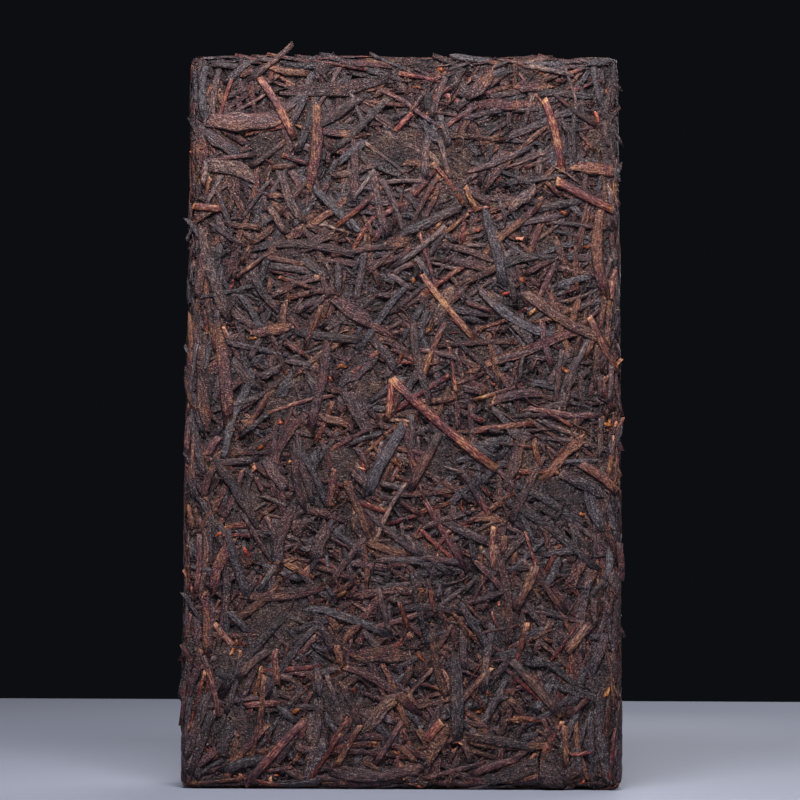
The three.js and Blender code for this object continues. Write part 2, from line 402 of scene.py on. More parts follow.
# %% The kinds of piece
KIND_NAMES = ("broad", "rolled", "twig", "chip", "bud", "fibre")
TRAITS = {
    "length": ((7, 20), (6, 28), (8, 24), (1.6, 7.0), (1.6, 4.5), (4, 12)),
    "width": ((3.0, 5.8), (1.2, 2.8), (1.0, 2.1), (0.9, 2.8), (0.7, 1.4), (0.35, 0.7)),
    "thick": (0.2, 0.42, 0.6, 0.36, 0.5, 0.8),  # as a share of its width
    "stiff": (0.05, 0.25, 0.6, 0.1, 0.2, 0.3),  # 1 spans every hollow
    "sink": (0.25, 0.3, 0.4, 0.15, 0.25, 0.1),  # into its bed
    "dip": (0.4, 0.4, 0.3, 0.2, 0.3, 0.3),  # of its tips
    "taper": ((0.15, 0.7), (0.0, 0.35), (0.0, 0.15), (0.0, 0.8), (0.3, 0.8), (0.2, 0.7)),
    "ridges": ((0.5, 1.4), (0.5, 1.2), (0.8, 1.05), (0.6, 1.2), (0.7, 1.1), (1.0, 1.0)),
    "crown": (0.4, 0.75, 0.85, 0.55, 0.8, 0.9),  # how pointed its back is
    "bow": (0.06, 0.05, 0.03, 0.08, 0.1, 0.1),
    "wave": (0.5, 0.3, 0.15, 0.2, 0.2, 0.3),  # of its middle, to both sides
    "waver": (0.13, 0.08, 0.05, 0.1, 0.1, 0.1),  # of its width
    "rough": (0.2, 0.1, 0.05, 0.12, 0.1, 0.03),
    "twist": (0.05, 0.06, 0.02, 0.15, 0.1, 0.0),
    "torn": (0.5, 0.6, 0.3, 0.7, 0.3, 0.0),  # how slanted its ends are
    "tone": ((0.45, 0.08), (0.42, 0.09), (0.38, 0.13), (0.45, 0.1), (0.5, 0.25), (0.35, 0.2)),  # mean, spread
}
KINDS = {
    kind: {trait: values[number] for trait, values in TRAITS.items()}
    for number, kind in enumerate(KIND_NAMES)
}
print("a twig's habit:", KINDS["twig"])

# %% [markdown]
# A piece takes its numbers at random from its kind's habit. Lengths follow a skewed draw, because a
# brick holds many short pieces and few long ones.

# %% Drawing a piece
SKEW = 1.6
WIDEST = 0.55  # a short piece is no wider than this share of its length
LIMIT = (-0.45, 0.25)  # how far out of the mould's wall a piece may reach


def new_strip(kind, draw, **given):
    habit = KINDS[kind]
    skew = draw.uniform() ** SKEW
    length = habit["length"][0] + (habit["length"][1] - habit["length"][0]) * skew
    width = draw.uniform(*habit["width"])
    strip = SimpleNamespace(**habit)
    numbers = dict(
        length=length,
        width=min(width, length * WIDEST),
        angle=draw.uniform(0, math.pi),
        taper=draw.uniform(*habit["taper"], size=2),
        ridges=draw.uniform(*habit["ridges"], size=4),
        torn=draw.uniform(-1, 1, size=2) * habit["torn"],
        bow=draw.uniform(-1, 1) * habit["bow"],
        wave=draw.uniform(0, 1) * habit["wave"],
        phase=draw.uniform(0, math.tau),
        dip=habit["dip"] * draw.uniform(0.2, 1.2),
        twist=draw.uniform(-1, 1) * habit["twist"],
        tone=float(np.clip(draw.normal(*habit["tone"]), 0, 1)),
        hue=draw.uniform(),
        limit=draw.uniform(*LIMIT),
        stray=False,
    )
    vars(strip).update(numbers, **given)
    strip.thick = habit["thick"] * strip.width
    return strip


# %% [markdown]
# Where does a leaf go? Several places are tried and the lowest is taken, which levels the face as a
# press does. Beside the mould's walls the leaves turn to run along them, so the angle is set by how
# near an edge the place is.

# %% Choosing places
TRIALS = 4
EDGE_BAND = 11.0  # how near a wall the leaves run along it
EDGE_STRAY = 0.25  # and by how many radians they may miss it
SIDE_STRAY = 0.22
RUNS = {"left": "v", "right": "v", "top": "u", "base": "u"}  # the long direction of the narrow faces


def angle_at(face, u, v, draw):
    wide, tall = FACES[face]["size"]
    beside = wide / 2 - abs(u) < EDGE_BAND * draw.uniform(0.4, 1.2)
    below = tall / 2 - abs(v) < EDGE_BAND * draw.uniform(0.2, 0.8)
    run = RUNS.get(face)
    if run == "v" or (beside and run != "u"):
        return math.pi / 2 + draw.normal(0, SIDE_STRAY)
    if run == "u" or below:
        return draw.normal(0, EDGE_STRAY)
    return draw.uniform(0, math.pi)


def find_place(strip, face, relief, draw):
    wide, tall = FACES[face]["size"]
    best = None
    for _ in range(TRIALS):
        u = draw.uniform(-wide / 2, wide / 2)
        v = draw.uniform(-tall / 2, tall / 2)
        angle = angle_at(face, u, v, draw)
        reach_u = wide / 2 + 0.5 - (abs(math.cos(angle)) * strip.length + strip.width) / 2
        reach_v = tall / 2 + 0.5 - (abs(math.sin(angle)) * strip.length + strip.width) / 2
        strip.u = float(np.clip(u, -max(reach_u, 0), max(reach_u, 0)))
        strip.v = float(np.clip(v, -max(reach_v, 0), max(reach_v, 0)))
        strip.angle = angle
        level = relief.read(*track(strip, STATIONS, 0.0)).mean()
        if best is None or level < best[0]:
            best = (level, strip.u, strip.v, angle)
    _, strip.u, strip.v, strip.angle = best


def lay(strip, face, heap, draw, shape):
    relief = reliefs[face]
    settle(strip, relief)
    mark(strip, relief)
    heap.add(shape, *bent_rod(strip, face, draw, shape), strip.hue)


# %% [markdown]
# First the mass of leaves, in layers: whole ones, then broken ones between them, then whole ones
# again. The number on each face follows from its area, so all sides are filled alike.

# %% Fill the faces
LAYER_RISE = 0.05  # how much further out each layer may reach
# Pieces for each square millimetre, layer by layer.
LAYERS = (
    {"broad": 0.003, "rolled": 0.016, "twig": 0.003},
    {"chip": 0.025, "broad": 0.001},
    {"rolled": 0.014, "twig": 0.004},
    {"chip": 0.014},
    {"rolled": 0.019, "broad": 0.001, "twig": 0.007},
)


def zone(face):
    return face if face in ("front", "back") else "edges"


HEAP_NAMES = {
    "broad": ("broad_leaves", "broad_leaf"),
    "rolled": ("rolled_leaves", "rolled_leaf"),
    "twig": ("twigs", "twig"),
    "chip": ("broken_leaves", "rolled_leaf"),
}
heaps = {
    (kind, place): Heap(f"{name}_{place}", slot)
    for kind, (name, slot) in HEAP_NAMES.items()
    for place in ("front", "back", "edges")
}


def fill(face, seed):
    draw = np.random.default_rng(seed)
    wide, tall = FACES[face]["size"]
    for number, layer in enumerate(LAYERS):
        for kind, per_area in layer.items():
            for _ in range(int(per_area * wide * tall)):
                strip = new_strip(kind, draw)
                strip.limit += LAYER_RISE * number
                find_place(strip, face, reliefs[face], draw)
                lay(strip, face, heaps[kind, zone(face)], draw, CHIP_ROD if kind == "chip" else LEAF_ROD)


for number, face in enumerate(FACES):
    fill(face, 100 + number)
    print(face, "filled to", round(float(reliefs[face].height.mean()), 2), "mm from the mould's wall")

# %% [markdown]
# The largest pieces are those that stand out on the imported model: the rows below for the front, and
# pieces laid by rule on every face. They come later, so they lie on top.

# %% Pieces that stand out on the front
# Both ends as x and z on the front, the width, and the tone from dark to bright.
SHOWN = {
    "twig": [
        (-49, 237, -37, 216, 2.7, 0.6), (-53, 236, -38, 249, 2.0, 0.4), (-71, 193, -61, 192, 2.3, 0.6),
        (47, 230, 53, 205, 2.7, 0.7), (51, 202, 70, 192, 2.9, 0.55), (31, 245, 41, 242, 1.4, 0.5),
        (-4, 135, 31, 105, 3.0, 0.6), (-5, 122, -4, 135, 2.0, 0.7), (6, 170, 24, 148, 2.2, 0.8),
        (69, 160, 71, 172, 2.0, 0.7), (2, 98, 12, 117, 3.0, 0.25), (19, 105, 29, 89, 2.0, 0.35),
        (7, 95, 21, 72, 2.0, 0.4), (30, 86, 30, 72, 1.8, 0.75), (37, 59, 44, 73, 3.0, 0.45),
        (-54, 36, -44, 45, 2.7, 0.4), (-42, 45, -41, 34, 2.3, 0.6), (-51, 1, -32, 22, 2.8, 0.5),
        (54, 45, 62, 54, 3.0, 0.65), (23, 5, 37, 10, 2.4, 0.4), (8, 16, 13, 22, 3.0, 0.75),
        (36, 42, 51, 25, 3.0, 0.35), (59, 107, 71, 98, 3.0, 0.55), (62, 156, 72, 137, 2.4, 0.45),
    ],
    "rolled": [
        (-32, 219, -15, 230, 3.7, 0.25), (-36, 211, -29, 232, 2.8, 0.2), (-42, 205, -34, 187, 3.3, 0.45),
        (-17, 217, -17, 195, 2.7, 0.45), (-11, 206, -5, 182, 2.8, 0.5), (32, 201, 55, 204, 2.2, 0.3),
        (-1, 184, 19, 193, 3.3, 0.4), (43, 232, 64, 231, 2.4, 0.3), (-69, 162, -67, 177, 3.0, 0.45),
        (-38, 151, -14, 148, 2.8, 0.2), (-11, 149, -2, 137, 3.0, 0.3), (-31, 117, -25, 147, 3.4, 0.35),
        (-57, 141, -48, 131, 3.0, 0.4), (16, 175, 28, 172, 3.0, 0.4), (29, 172, 46, 177, 2.8, 0.15),
        (14, 180, 30, 175, 2.4, 0.5), (-63, 108, -48, 86, 3.4, 0.15), (-58, 85, -50, 61, 3.2, 0.25),
        (36, 89, 46, 109, 2.8, 0.45), (39, 92, 64, 72, 3.0, 0.2), (13, 88, 28, 81, 3.0, 0.4),
        (4, 81, 15, 71, 2.8, 0.25), (-60, 30, -38, 57, 3.4, 0.2), (-59, 6, -44, 10, 3.4, 0.2),
        (-71, 10, -64, 31, 3.4, 0.25), (-69, 4, -62, 25, 3.0, 0.15), (19, 61, 30, 44, 2.8, 0.25),
        (30, 44, 43, 44, 2.2, 0.35), (21, 17, 42, 14, 3.4, 0.25), (69, 199, 73, 185, 2.4, 0.45),
        (62, 38, 67, 51, 3.4, 0.45), (45, 44, 61, 32, 2.4, 0.2),
    ],
    "broad": [
        (-66, 222, -42, 222, 6.7, 0.7), (-43, 232, -5, 237, 4.8, 0.25), (-69, 220, -55, 210, 4.2, 0.4),
        (21, 230, 30, 240, 4.8, 0.5), (25, 228, 44, 228, 3.8, 0.5), (57, 207, 72, 205, 4.2, 0.75),
        (35, 192, 44, 200, 4.2, 0.7), (-68, 185, -58, 154, 4.4, 0.45), (-62, 153, -58, 120, 4.2, 0.55),
        (-68, 139, -65, 117, 4.2, 0.45), (-51, 150, -36, 153, 3.6, 0.7), (-21, 133, -9, 142, 4.2, 0.3),
        (22, 137, 62, 152, 3.4, 0.65), (-72, 113, -68, 94, 3.2, 0.5), (-46, 108, -39, 98, 4.2, 0.6),
        (-29, 75, -25, 86, 4.8, 0.4), (34, 100, 40, 118, 4.2, 0.5), (46, 101, 60, 116, 3.2, 0.85),
        (52, 104, 68, 96, 4.2, 0.35), (-59, 11, -56, 23, 4.2, 0.25), (-12, 19, -1, 31, 4.8, 0.6),
        (17, 44, 18, 16, 4.8, 0.35), (26, 2, 54, 12, 4.4, 0.2), (45, 8, 53, 2, 7.4, 0.3),
    ],
}
print(sum(len(rows) for rows in SHOWN.values()), "pieces are laid where they show on the front")

# %% [markdown]
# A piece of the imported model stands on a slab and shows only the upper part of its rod. The same
# shares give the height of the leaf's back here.

# %% How far a piece stands out
SLAB_INSET = 0.9  # the slab lies this far inside the mould's walls
STAND_OUT = {"twig": (0.85, 0.72), "rolled": (0.6, 0.7), "broad": (0.4, 0.7)}  # depth for width, share shown
# Painted shade: pieces laid by rule are darkened a little, because they stand out without the shadow of other
# leaves on them.
LAID_PAINTED_SHADE = -0.05  # pieces laid by rule are a little darker
SHOWN_TONE = (0.06, 0.8)  # a shown piece's least tone, and what its own number adds
SHOWN_HUE = (-0.15, 0.25)  # brighter ones are redder, give or take this much
SHOWN_BOW = 0.04


def stand_out_strip(kind, draw, u, v, angle, length, width, bow, tone=None):
    strip = new_strip(kind, draw, u=u, v=v, angle=angle, length=length, width=width, bow=bow)
    depth, shown = STAND_OUT[kind]
    strip.limit = width * depth * shown - SLAB_INSET
    if tone is None:
        # Painted shade for a piece laid by rule.
        strip.tone += LAID_PAINTED_SHADE
    else:
        strip.tone = SHOWN_TONE[0] + SHOWN_TONE[1] * tone
        strip.hue = float(np.clip(tone + draw.uniform(*SHOWN_HUE), 0, 1))
    return strip


def lay_shown():
    draw = np.random.default_rng(7)
    for kind in ("broad", "rolled", "twig"):
        for x0, z0, x1, z1, width, tone in SHOWN[kind]:
            strip = stand_out_strip(
                kind, draw, u=(x0 + x1) / 2, v=(z0 + z1) / 2 - HEIGHT / 2, angle=math.atan2(z1 - z0, x1 - x0),
                length=math.hypot(x1 - x0, z1 - z0), width=width, bow=draw.uniform(-SHOWN_BOW, SHOWN_BOW),
                tone=tone,
            )
            strip.stray = max(z0, z1) > HEIGHT
            lay(strip, "front", heaps[kind, "front"], draw, LEAF_ROD)


# %% [markdown]
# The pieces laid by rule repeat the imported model's own row of random numbers, so each lands on the
# same spot: one to a cell of each face's grid, and none on the front where a shown piece lies.

# %% Pieces laid by rule
CELLS = {"front": (6, 10), "back": (6, 10), "right": (2, 9), "left": (2, 9), "top": (6, 2)}
LAID_LENGTH = (17, 34)
LAID_WIDTH = (2.8, 4.8)
LAID_SHRINK = 0.85  # a leaf as wide as the solid's rods would look too broad
LAID_BROAD = 0.3  # this share of them is broad
LAID_BOW = 0.09
LAID_BAND = 13
IN_CELL = (0.2, 0.8)  # where in its cell a piece may have its middle
CLEARANCE = 4
SEED = 7581


def drawer(seed):
    """Draws numbers between two limits by a rule that gives the same row in any language."""
    state = seed

    def draw(low, high):
        nonlocal state
        state = (state * 48271) % 2147483647
        return low + (high - low) * state / 2147483647

    return draw


def distance_to_shown(u, v):
    place = np.array([u, v + HEIGHT / 2])
    distances = []
    for x0, z0, x1, z1, _, _ in SHOWN["broad"] + SHOWN["rolled"] + SHOWN["twig"]:
        start, run = np.array([x0, z0]), np.array([x1 - x0, z1 - z0])
        share = np.clip(np.dot(place - start, run) / np.dot(run, run), 0, 1)
        distances.append(np.linalg.norm(start + share * run - place))
    return min(distances)


def lay_by_rule(face, seed):
    draw = drawer(seed)
    extra = np.random.default_rng(seed)
    columns, rows = CELLS[face]
    wide, tall = FACES[face]["size"]
    run = RUNS.get(face)
    for row in range(rows):
        for column in range(columns):
            length, width = draw(*LAID_LENGTH), draw(*LAID_WIDTH)
            u = ((column + draw(*IN_CELL)) / columns - 0.5) * wide
            v = ((row + draw(*IN_CELL)) / rows - 0.5) * tall
            angle = draw(0, math.pi)
            beside, below = wide / 2 - abs(u) < LAID_BAND, tall / 2 - abs(v) < LAID_BAND
            if run == "v" or (beside and run != "u"):
                angle = math.pi / 2 + draw(-0.2, 0.2)
            elif run == "u" or below:
                angle = draw(-0.25, 0.25)
            reach_u = (abs(math.cos(angle)) * length + width) / 2 + 0.5
            reach_v = (abs(math.sin(angle)) * length + width) / 2 + 0.5
            u = max(-wide / 2 + reach_u, min(u, wide / 2 - reach_u))
            v = max(-tall / 2 + reach_v, min(v, tall / 2 - reach_v))
            kind = "broad" if draw(0, 1) < LAID_BROAD else "rolled"
            bow = draw(-LAID_BOW, LAID_BOW)
            if face == "front" and distance_to_shown(u, v) < CLEARANCE:
                continue
            slim = LAID_SHRINK * width
            strip = stand_out_strip(kind, extra, u=u, v=v, angle=angle, length=length, width=slim, bow=bow)
            lay(strip, face, heaps[kind, zone(face)], extra, LEAF_ROD)


for number, face in enumerate(("front", "back", "right", "left", "top")):
    lay_by_rule(face, SEED + 1 + number)
lay_shown()

# %% [markdown]
# A brick's outline isn't straight. Strays lie slantwise to an edge of the front or back, and stick
# out past it without bending.

# %% Strays along the edges
STRAYS = 14  # along each side edge and the top edge, of the front and of the back
STRAY_TWIGS = 0.4  # this share of them are twigs
STRAY_LENGTH = (6, 16)
STRAY_WIDTH = (1.1, 2.4)
STRAY_SLANT = 0.7  # in radians
STRAY_REACH = (0.2, 1.3)  # how far it sticks out past the edge
STRAY_LIMIT = (-0.8, 0.1)
STRAY_FOOT = 12


def lay_strays(face, seed):
    draw = np.random.default_rng(seed)
    wide, tall = FACES[face]["size"]
    for number in range(3 * STRAYS):
        edge = number % 3 - 1  # left, top or right
        kind = "twig" if draw.uniform() < STRAY_TWIGS else "rolled"
        length, width = draw.uniform(*STRAY_LENGTH), draw.uniform(*STRAY_WIDTH)
        strip = new_strip(kind, draw, stray=True, length=length, width=width)
        slant = draw.uniform(-STRAY_SLANT, STRAY_SLANT)
        over = draw.uniform(*STRAY_REACH)
        across = (strip.length * math.sin(abs(slant)) + strip.width * math.cos(slant)) / 2
        end = strip.length * math.cos(slant) / 2 - over
        if edge:
            strip.angle = math.pi / 2 + slant
            strip.u = edge * (wide / 2 + over - across)
            strip.v = draw.uniform(-tall / 2 + STRAY_FOOT, tall / 2 - end)
        else:
            strip.angle = slant
            strip.u = draw.uniform(-wide / 2 + end, wide / 2 - end)
            strip.v = tall / 2 + over - across
        strip.limit = draw.uniform(*STRAY_LIMIT)
        lay(strip, face, heaps[kind, zone(face)], draw, LEAF_ROD)


for number, face in enumerate(("front", "back")):
    lay_strays(face, 200 + number)

# %% [markdown]
# Last come the small things. Golden buds and loose fibres lie on top at any angle.

# %% Buds and fibres
SMALL_PER_AREA = {"bud": 0.0016, "fibre": 0.006}
SMALL_LIMIT = (-0.1, 0.5)
heaps["bud"] = Heap("golden_buds", "golden_tip")
heaps["fibre"] = Heap("loose_fibres", "twig")


def scatter(kind, shape, face, seed):
    draw = np.random.default_rng(seed)
    wide, tall = FACES[face]["size"]
    for _ in range(int(SMALL_PER_AREA[kind] * wide * tall)):
        strip = new_strip(kind, draw)
        strip.limit = draw.uniform(*SMALL_LIMIT)
        find_place(strip, face, reliefs[face], draw)
        strip.angle = draw.uniform(0, math.pi)
        lay(strip, face, heaps[kind], draw, shape)


for number, face in enumerate(FACES):
    scatter("bud", LEAF_ROD, face, 300 + number)
    scatter("fibre", FIBRE_ROD, face, 400 + number)

# %% [markdown]
# A crumb is a small prism with its corners pulled about, flattened by the press and turned at random.
# The lowest of three places is taken, because crumbs fall into the gaps.

# %% Crumbs
CRUMBS_PER_AREA = 0.16
CRUMB_SIZE = (0.2, 0.7)  # half its length
CRUMB_WIDE, CRUMB_THICK = (0.4, 0.9), (0.35, 0.7)  # as shares of that
CRUMB_PULL = (0.6, 1.2)  # how far its corners are pulled out or in
CRUMB_TONE = (0.25, 0.6)
for place in ("front", "back", "edges"):
    heaps["crumb", place] = Heap("crumbs_" + place, "crumb")


def scatter_crumbs(face, seed):
    draw = np.random.default_rng(seed)
    relief = reliefs[face]
    wide, tall = FACES[face]["size"]
    for _ in range(int(CRUMBS_PER_AREA * wide * tall)):
        u, v = draw.uniform(-0.5, 0.5, size=(2, 3)) * np.array([[wide], [tall]])
        level = relief.read(u, v)
        lowest = int(np.argmin(level))
        size = CRUMB_SIZE[0] + (CRUMB_SIZE[1] - CRUMB_SIZE[0]) * draw.uniform() ** 2
        broad, thick = size * draw.uniform(*CRUMB_WIDE), size * draw.uniform(*CRUMB_THICK)
        turn = draw.uniform(0, math.pi)
        pull = draw.uniform(*CRUMB_PULL, size=(3, len(CRUMB_ROD["points"])))
        x, y, z = (CRUMB_ROD["points"] * (1, 1, 2)).T * pull
        over_u = u[lowest] + x * size * math.cos(turn) - y * broad * math.sin(turn)
        over_v = v[lowest] + x * size * math.sin(turn) + y * broad * math.cos(turn)
        height = min(level[lowest], -0.1) + thick * (0.2 + 0.6 * z)
        grain = draw.uniform(0, GRAIN_RANGE)
        fibre = np.stack([x * size + grain, y * broad + grain, np.abs(x)], axis=-1)
        tone = np.full(len(x), draw.uniform(*CRUMB_TONE))
        points = on_face(face, over_u, over_v, height)
        heaps["crumb", zone(face)].add(CRUMB_ROD, points, fibre, tone, draw.uniform())


for number, face in enumerate(FACES):
    scatter_crumbs(face, 500 + number)

# %% [markdown]
# Dust and broken leaf fill the gaps up to a little below the leaves, so the core is made after them. A
# cube is cut into small squares by subdividing its edges in one direction after another, and rounded
# by pushing each vertex out from an inner box. That keeps one closed mesh without seams.

# %% Core mesh
CORE_STEP = 1.12  # how large its squares are
CORE_ROUGHNESS = 0.17
CORE_FOOT = 0.3  # how far it stays above what the brick stands on
DUST_GAP = 0.55  # how far the dust stays below the leaves round it
# Painted shade: the core's tone is darker the deeper it lies, for the shade in its hollows.
CORE_PAINTED_SHADE = 0.2  # how much darker it is for each millimetre that it lies deeper
CORE_TONE, CORE_HUE = 0.47, 0.35


def dust_height(inner, outward):
    """The smoothed reach of the leaves at points given by an inner box and a direction out of it."""
    facing = np.stack([outward @ np.cross(FACES[face]["across"], FACES[face]["up"]) for face in FACES])
    height = np.zeros(len(inner))
    for number, face in enumerate(FACES):
        mine = facing.argmax(axis=0) == number
        across, up = np.array(FACES[face]["across"], float), np.array(FACES[face]["up"], float)
        tilt_u = np.arctan2(outward[mine] @ across, facing[number][mine])
        tilt_v = np.arctan2(outward[mine] @ up, facing[number][mine])
        u, v = inner[mine] @ across + ARRIS * tilt_u, inner[mine] @ up + ARRIS * tilt_v
        height[mine] = reliefs[face].smoothed(u, v)
    return height


def core_mesh():
    half = np.array([WIDTH, THICKNESS, HEIGHT]) / 2
    bm = bmesh.new()
    bmesh.ops.create_cube(bm, size=2)
    for axis in range(3):
        cuts = int(2 * half[axis] / CORE_STEP)
        along = [e for e in bm.edges if abs(e.verts[0].co[axis] - e.verts[1].co[axis]) > 1]
        bmesh.ops.subdivide_edges(bm, edges=along, cuts=cuts, use_grid_fill=True)
    unit = np.array([v.co for v in bm.verts])
    box = unit * half
    inner = np.clip(box, -(half - ARRIS), half - ARRIS)
    outward = box - inner
    outward /= np.linalg.norm(outward, axis=1, keepdims=True)
    wall = inner + ARRIS * outward
    wall[:, 2] += half[2]
    height = np.maximum(matted_height(wall), dust_height(inner, outward) - DUST_GAP)
    height += CORE_ROUGHNESS * np.random.default_rng(11).normal(size=len(wall))
    points = wall + outward * height[:, None]
    points[:, 2] = np.maximum(points[:, 2], CORE_FOOT)
    for vert, point in zip(bm.verts, points):
        vert.co = point * MM
    for polygon in bm.faces:
        polygon.smooth = True
    mesh = bpy.data.meshes.new("matted_leaf_core")
    bm.to_mesh(mesh)
    bm.free()
    # Its tone holds painted shade, darker in the hollows.
    for name, values in (("tone", CORE_TONE + CORE_PAINTED_SHADE * height), ("hue", np.full(len(height), CORE_HUE))):
        mesh.attributes.new(name, "FLOAT", "POINT").data.foreach_set("value", values)
    return mesh


core = new_object("matted_leaf_core", core_mesh())
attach(core, "root")
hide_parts("tea_brick")
print("core:", len(core.data.polygons), "faces")

# %% [markdown]
# Each heap becomes one object now that all its copies are in. Its arrays go into the mesh in one call
# each, which is quick for thousands of leaves.

# %% Make the pieces
pieces = {key: heap.piece() for key, heap in heaps.items()}

# %% [markdown]
# One function turns a colour written as a hex value into the linear numbers that a shader wants, and
# another adds a node with its settings and links.

# %% Colour and node helpers
def linear(code):
    """A colour from an sRGB hex value to linear red, green, blue and alpha."""
    parts = [int(code[i:i + 2], 16) / 255 for i in (1, 3, 5)]
    return tuple(c / 12.92 if c <= 0.04045 else ((c + 0.055) / 1.055) ** 2.4 for c in parts) + (1.0,)


def new_material(name):
    material = bpy.data.materials.new(name)
    material.use_nodes = True
    tree = material.node_tree
    tree.nodes.clear()
    return material, tree


def add(tree, kind, settings=None, **inputs):
    """Adds a node. `settings` are its properties, and inputs are values or other nodes' outputs."""
    node = tree.nodes.new("ShaderNode" + kind)
    for key, value in (settings or {}).items():
        setattr(node, key, value)
    for key, value in inputs.items():
        by_number = key[0] == "i" and key[1:].isdigit()
        socket = node.inputs[int(key[1:]) if by_number else key.replace("_", " ")]
        if isinstance(value, bpy.types.NodeSocket):
            tree.links.new(value, socket)
        else:
            socket.default_value = value
    return node


# %% [markdown]
# A few patterns make up every skin here. Noise gives lumps, and a share of a pattern can be added to a
# value. A grade says where one colour covers another, and stops turn a tone into its colour.

# %% Pattern helpers
def plus(tree, base, pattern, share):
    """A value with a share of a pattern added."""
    settings = {"operation": "MULTIPLY_ADD"}
    return add(tree, "Math", settings, i0=pattern, i1=share, i2=base).outputs[0]


def lumps(tree, place, size, detail, roughness=0.6):
    """A noise of lumps of a size in millimetres, moved so that its mean is about zero."""
    settings = {"Scale": 1 / size, "Detail": detail, "Roughness": roughness}
    texture = add(tree, "TexNoise", Vector=place, **settings)
    return plus(tree, -0.5, texture.outputs["Fac"], 1.0)


def grade(tree, value, low, high, most=1.0, least=0.0):
    """Goes from `least` to `most` while a value goes from low to high."""
    limits = {"From_Min": low, "From_Max": high, "To_Min": least, "To_Max": most}
    return add(tree, "MapRange", Value=value, **limits).outputs[0]


def cover(tree, under, top, amount):
    """One colour laid over another, by an amount from 0 to 1."""
    return add(tree, "Mix", {"data_type": "RGBA"}, i0=amount, i6=under, i7=top).outputs[2]


def tinted(tree, tone, stops):
    """The colour of a tone, from (place, hex) pairs."""
    node = add(tree, "ValToRGB", Fac=tone)
    elements = node.color_ramp.elements
    while len(elements) < len(stops):
        elements.new(0.5)
    for element, (place, code) in zip(elements, stops):
        element.position = place
        element.color = linear(code)
    return node.outputs["Color"]


# %% [markdown]
# Between the leaves lies a mass of crushed fibre and dust. It gets fibres that cross in three
# directions, and creases where one flake lies over the next. The creases are sunk and also painted
# darker, as painted shade.

# %% Skin of the matted mass
FLAKE = 2.2
FIBRE = 0.4  # how thick its fibres are
MATTED_TURNS = (0.4, 1.5, 2.6)
MATTED_DARK = 0.3  # what the fibres and creases add to its tone on average


def with_fibres(tree, place, shade, height):
    """The tone and the height of a skin with crossed fibres and creases added, with shade painted into the
    creases.
    """
    crossed = -1.0
    for turn in MATTED_TURNS:
        turned = add(tree, "Mapping", Vector=place, Rotation=(turn,) * 3, Scale=(0.25, 1, 1))
        fibres = lumps(tree, turned.outputs["Vector"], FIBRE, 2.0)
        crossed = add(tree, "Math", {"operation": "MAXIMUM"}, i0=crossed, i1=fibres).outputs[0]
    flakes = lumps(tree, place, FLAKE, 3.0)
    edge = add(tree, "Math", {"operation": "ABSOLUTE"}, i0=flakes).outputs[0]
    crease = grade(tree, edge, 0.0, 0.04)
    # Painted shade: the creases are darker in tone as well as sunk in the height.
    shade = plus(tree, plus(tree, shade, crossed, 1.6), crease, 0.2)
    return plus(tree, shade, MATTED_DARK, -1.0), plus(tree, plus(tree, height, crossed, 1.5), crease, 0.5)


# %% [markdown]
# Ripe tea leaf has been heaped wet for weeks, so it is nearly black, with slate, brown and red in it.
# Two rows of stops give each tone a slate and a maroon colour, and the leaf's own hue says how much of
# each. Then it leans a little to orange or to purple, and dark tones are made more vivid than pale ones,
# a painted stand-in for red light bounced between the leaves.

# %% Colour of a leaf
CAST_OF_LEAF, CAST_OF_PLACE = 0.03, 0.07  # how far a leaf, or a place, leans to orange or to purple
VIVID_DARK, VIVID_PALE = 1.5, 0.95


def leaf_colour(tree, shade, cloud, slate, maroon, cast):
    """The colour of a skin, and how red it is."""
    hue = add(tree, "Attribute", {"attribute_name": "hue"}).outputs["Fac"]
    redness = grade(tree, plus(tree, hue, cloud, 1.2), 0.1, 0.9)
    colour = cover(tree, tinted(tree, shade, slate), tinted(tree, shade, maroon), redness)
    own = add(tree, "Math", {"operation": "FRACT"}, i0=plus(tree, 0.0, hue, 7.0)).outputs[0]
    leaning = plus(tree, plus(tree, cast, own, CAST_OF_LEAF), cloud, CAST_OF_PLACE)
    # Painted light: dark tones get more saturation, standing in for red light bounced between the leaves.
    vivid = grade(tree, shade, 0.1, 0.9, VIVID_PALE, VIVID_DARK)
    colour = add(tree, "HueSaturation", Color=colour, Hue=leaning, Saturation=vivid)
    return colour.outputs["Color"], redness


# %% [markdown]
# Broken ends show the leaf's paler inside, and rust has come out in some places and where it is
# reddest.

# %% Broken ends and rust
CUT_STOPS = [(0.0, "#3a241d"), (0.4, "#7e4b38"), (0.8, "#c68c66")]
RUST_STOPS = [(0.2, "#301b18"), (0.5, "#5c382c"), (0.8, "#8e5b41")]
RUST_SIZE = 4.2


def with_broken_ends(tree, colour, shade, redness, fibre):
    nearness = add(tree, "SeparateXYZ", Vector=fibre).outputs["Z"]
    ends = grade(tree, plus(tree, nearness, redness, 0.3), 1.16, 1.22, 0.9)
    return cover(tree, colour, tinted(tree, shade, CUT_STOPS), ends)


def with_rust(tree, colour, shade, redness, place, level):
    spots = grade(tree, lumps(tree, place, RUST_SIZE, 4.0), level - 0.04, level + 0.04)
    reddest = grade(tree, redness, 0.9, 0.97, 0.7)
    rusty = add(tree, "Math", {"operation": "MAXIMUM"}, i0=spots, i1=reddest).outputs[0]
    return cover(tree, colour, tinted(tree, shade, RUST_STOPS), rusty)


# %% [markdown]
# Now the whole skin, dry and wrinkled lengthwise. The wrinkles need the leaf's own direction, so they
# read the `fibre` attribute, stretched along it. The other patterns read Object coordinates and run
# over all pieces alike. Height and colour share them: the mottling is the leaf's own, and with it shade
# is painted into the hollows, so a dark wrinkle is a hollow too. What stands up is rubbed smoother,
# which gives the ridges their faint sheen.

# %% Tea material
CRUMBLE = 0.8  # lumps of the rough skin, in millimetres
DUST = 0.42
CLOUD = 7.0  # how large the redder places are
PALE_DUST = "#918580"
HOLLOW_ROUGH, RIDGE_ROUGH = 0.66, 0.36


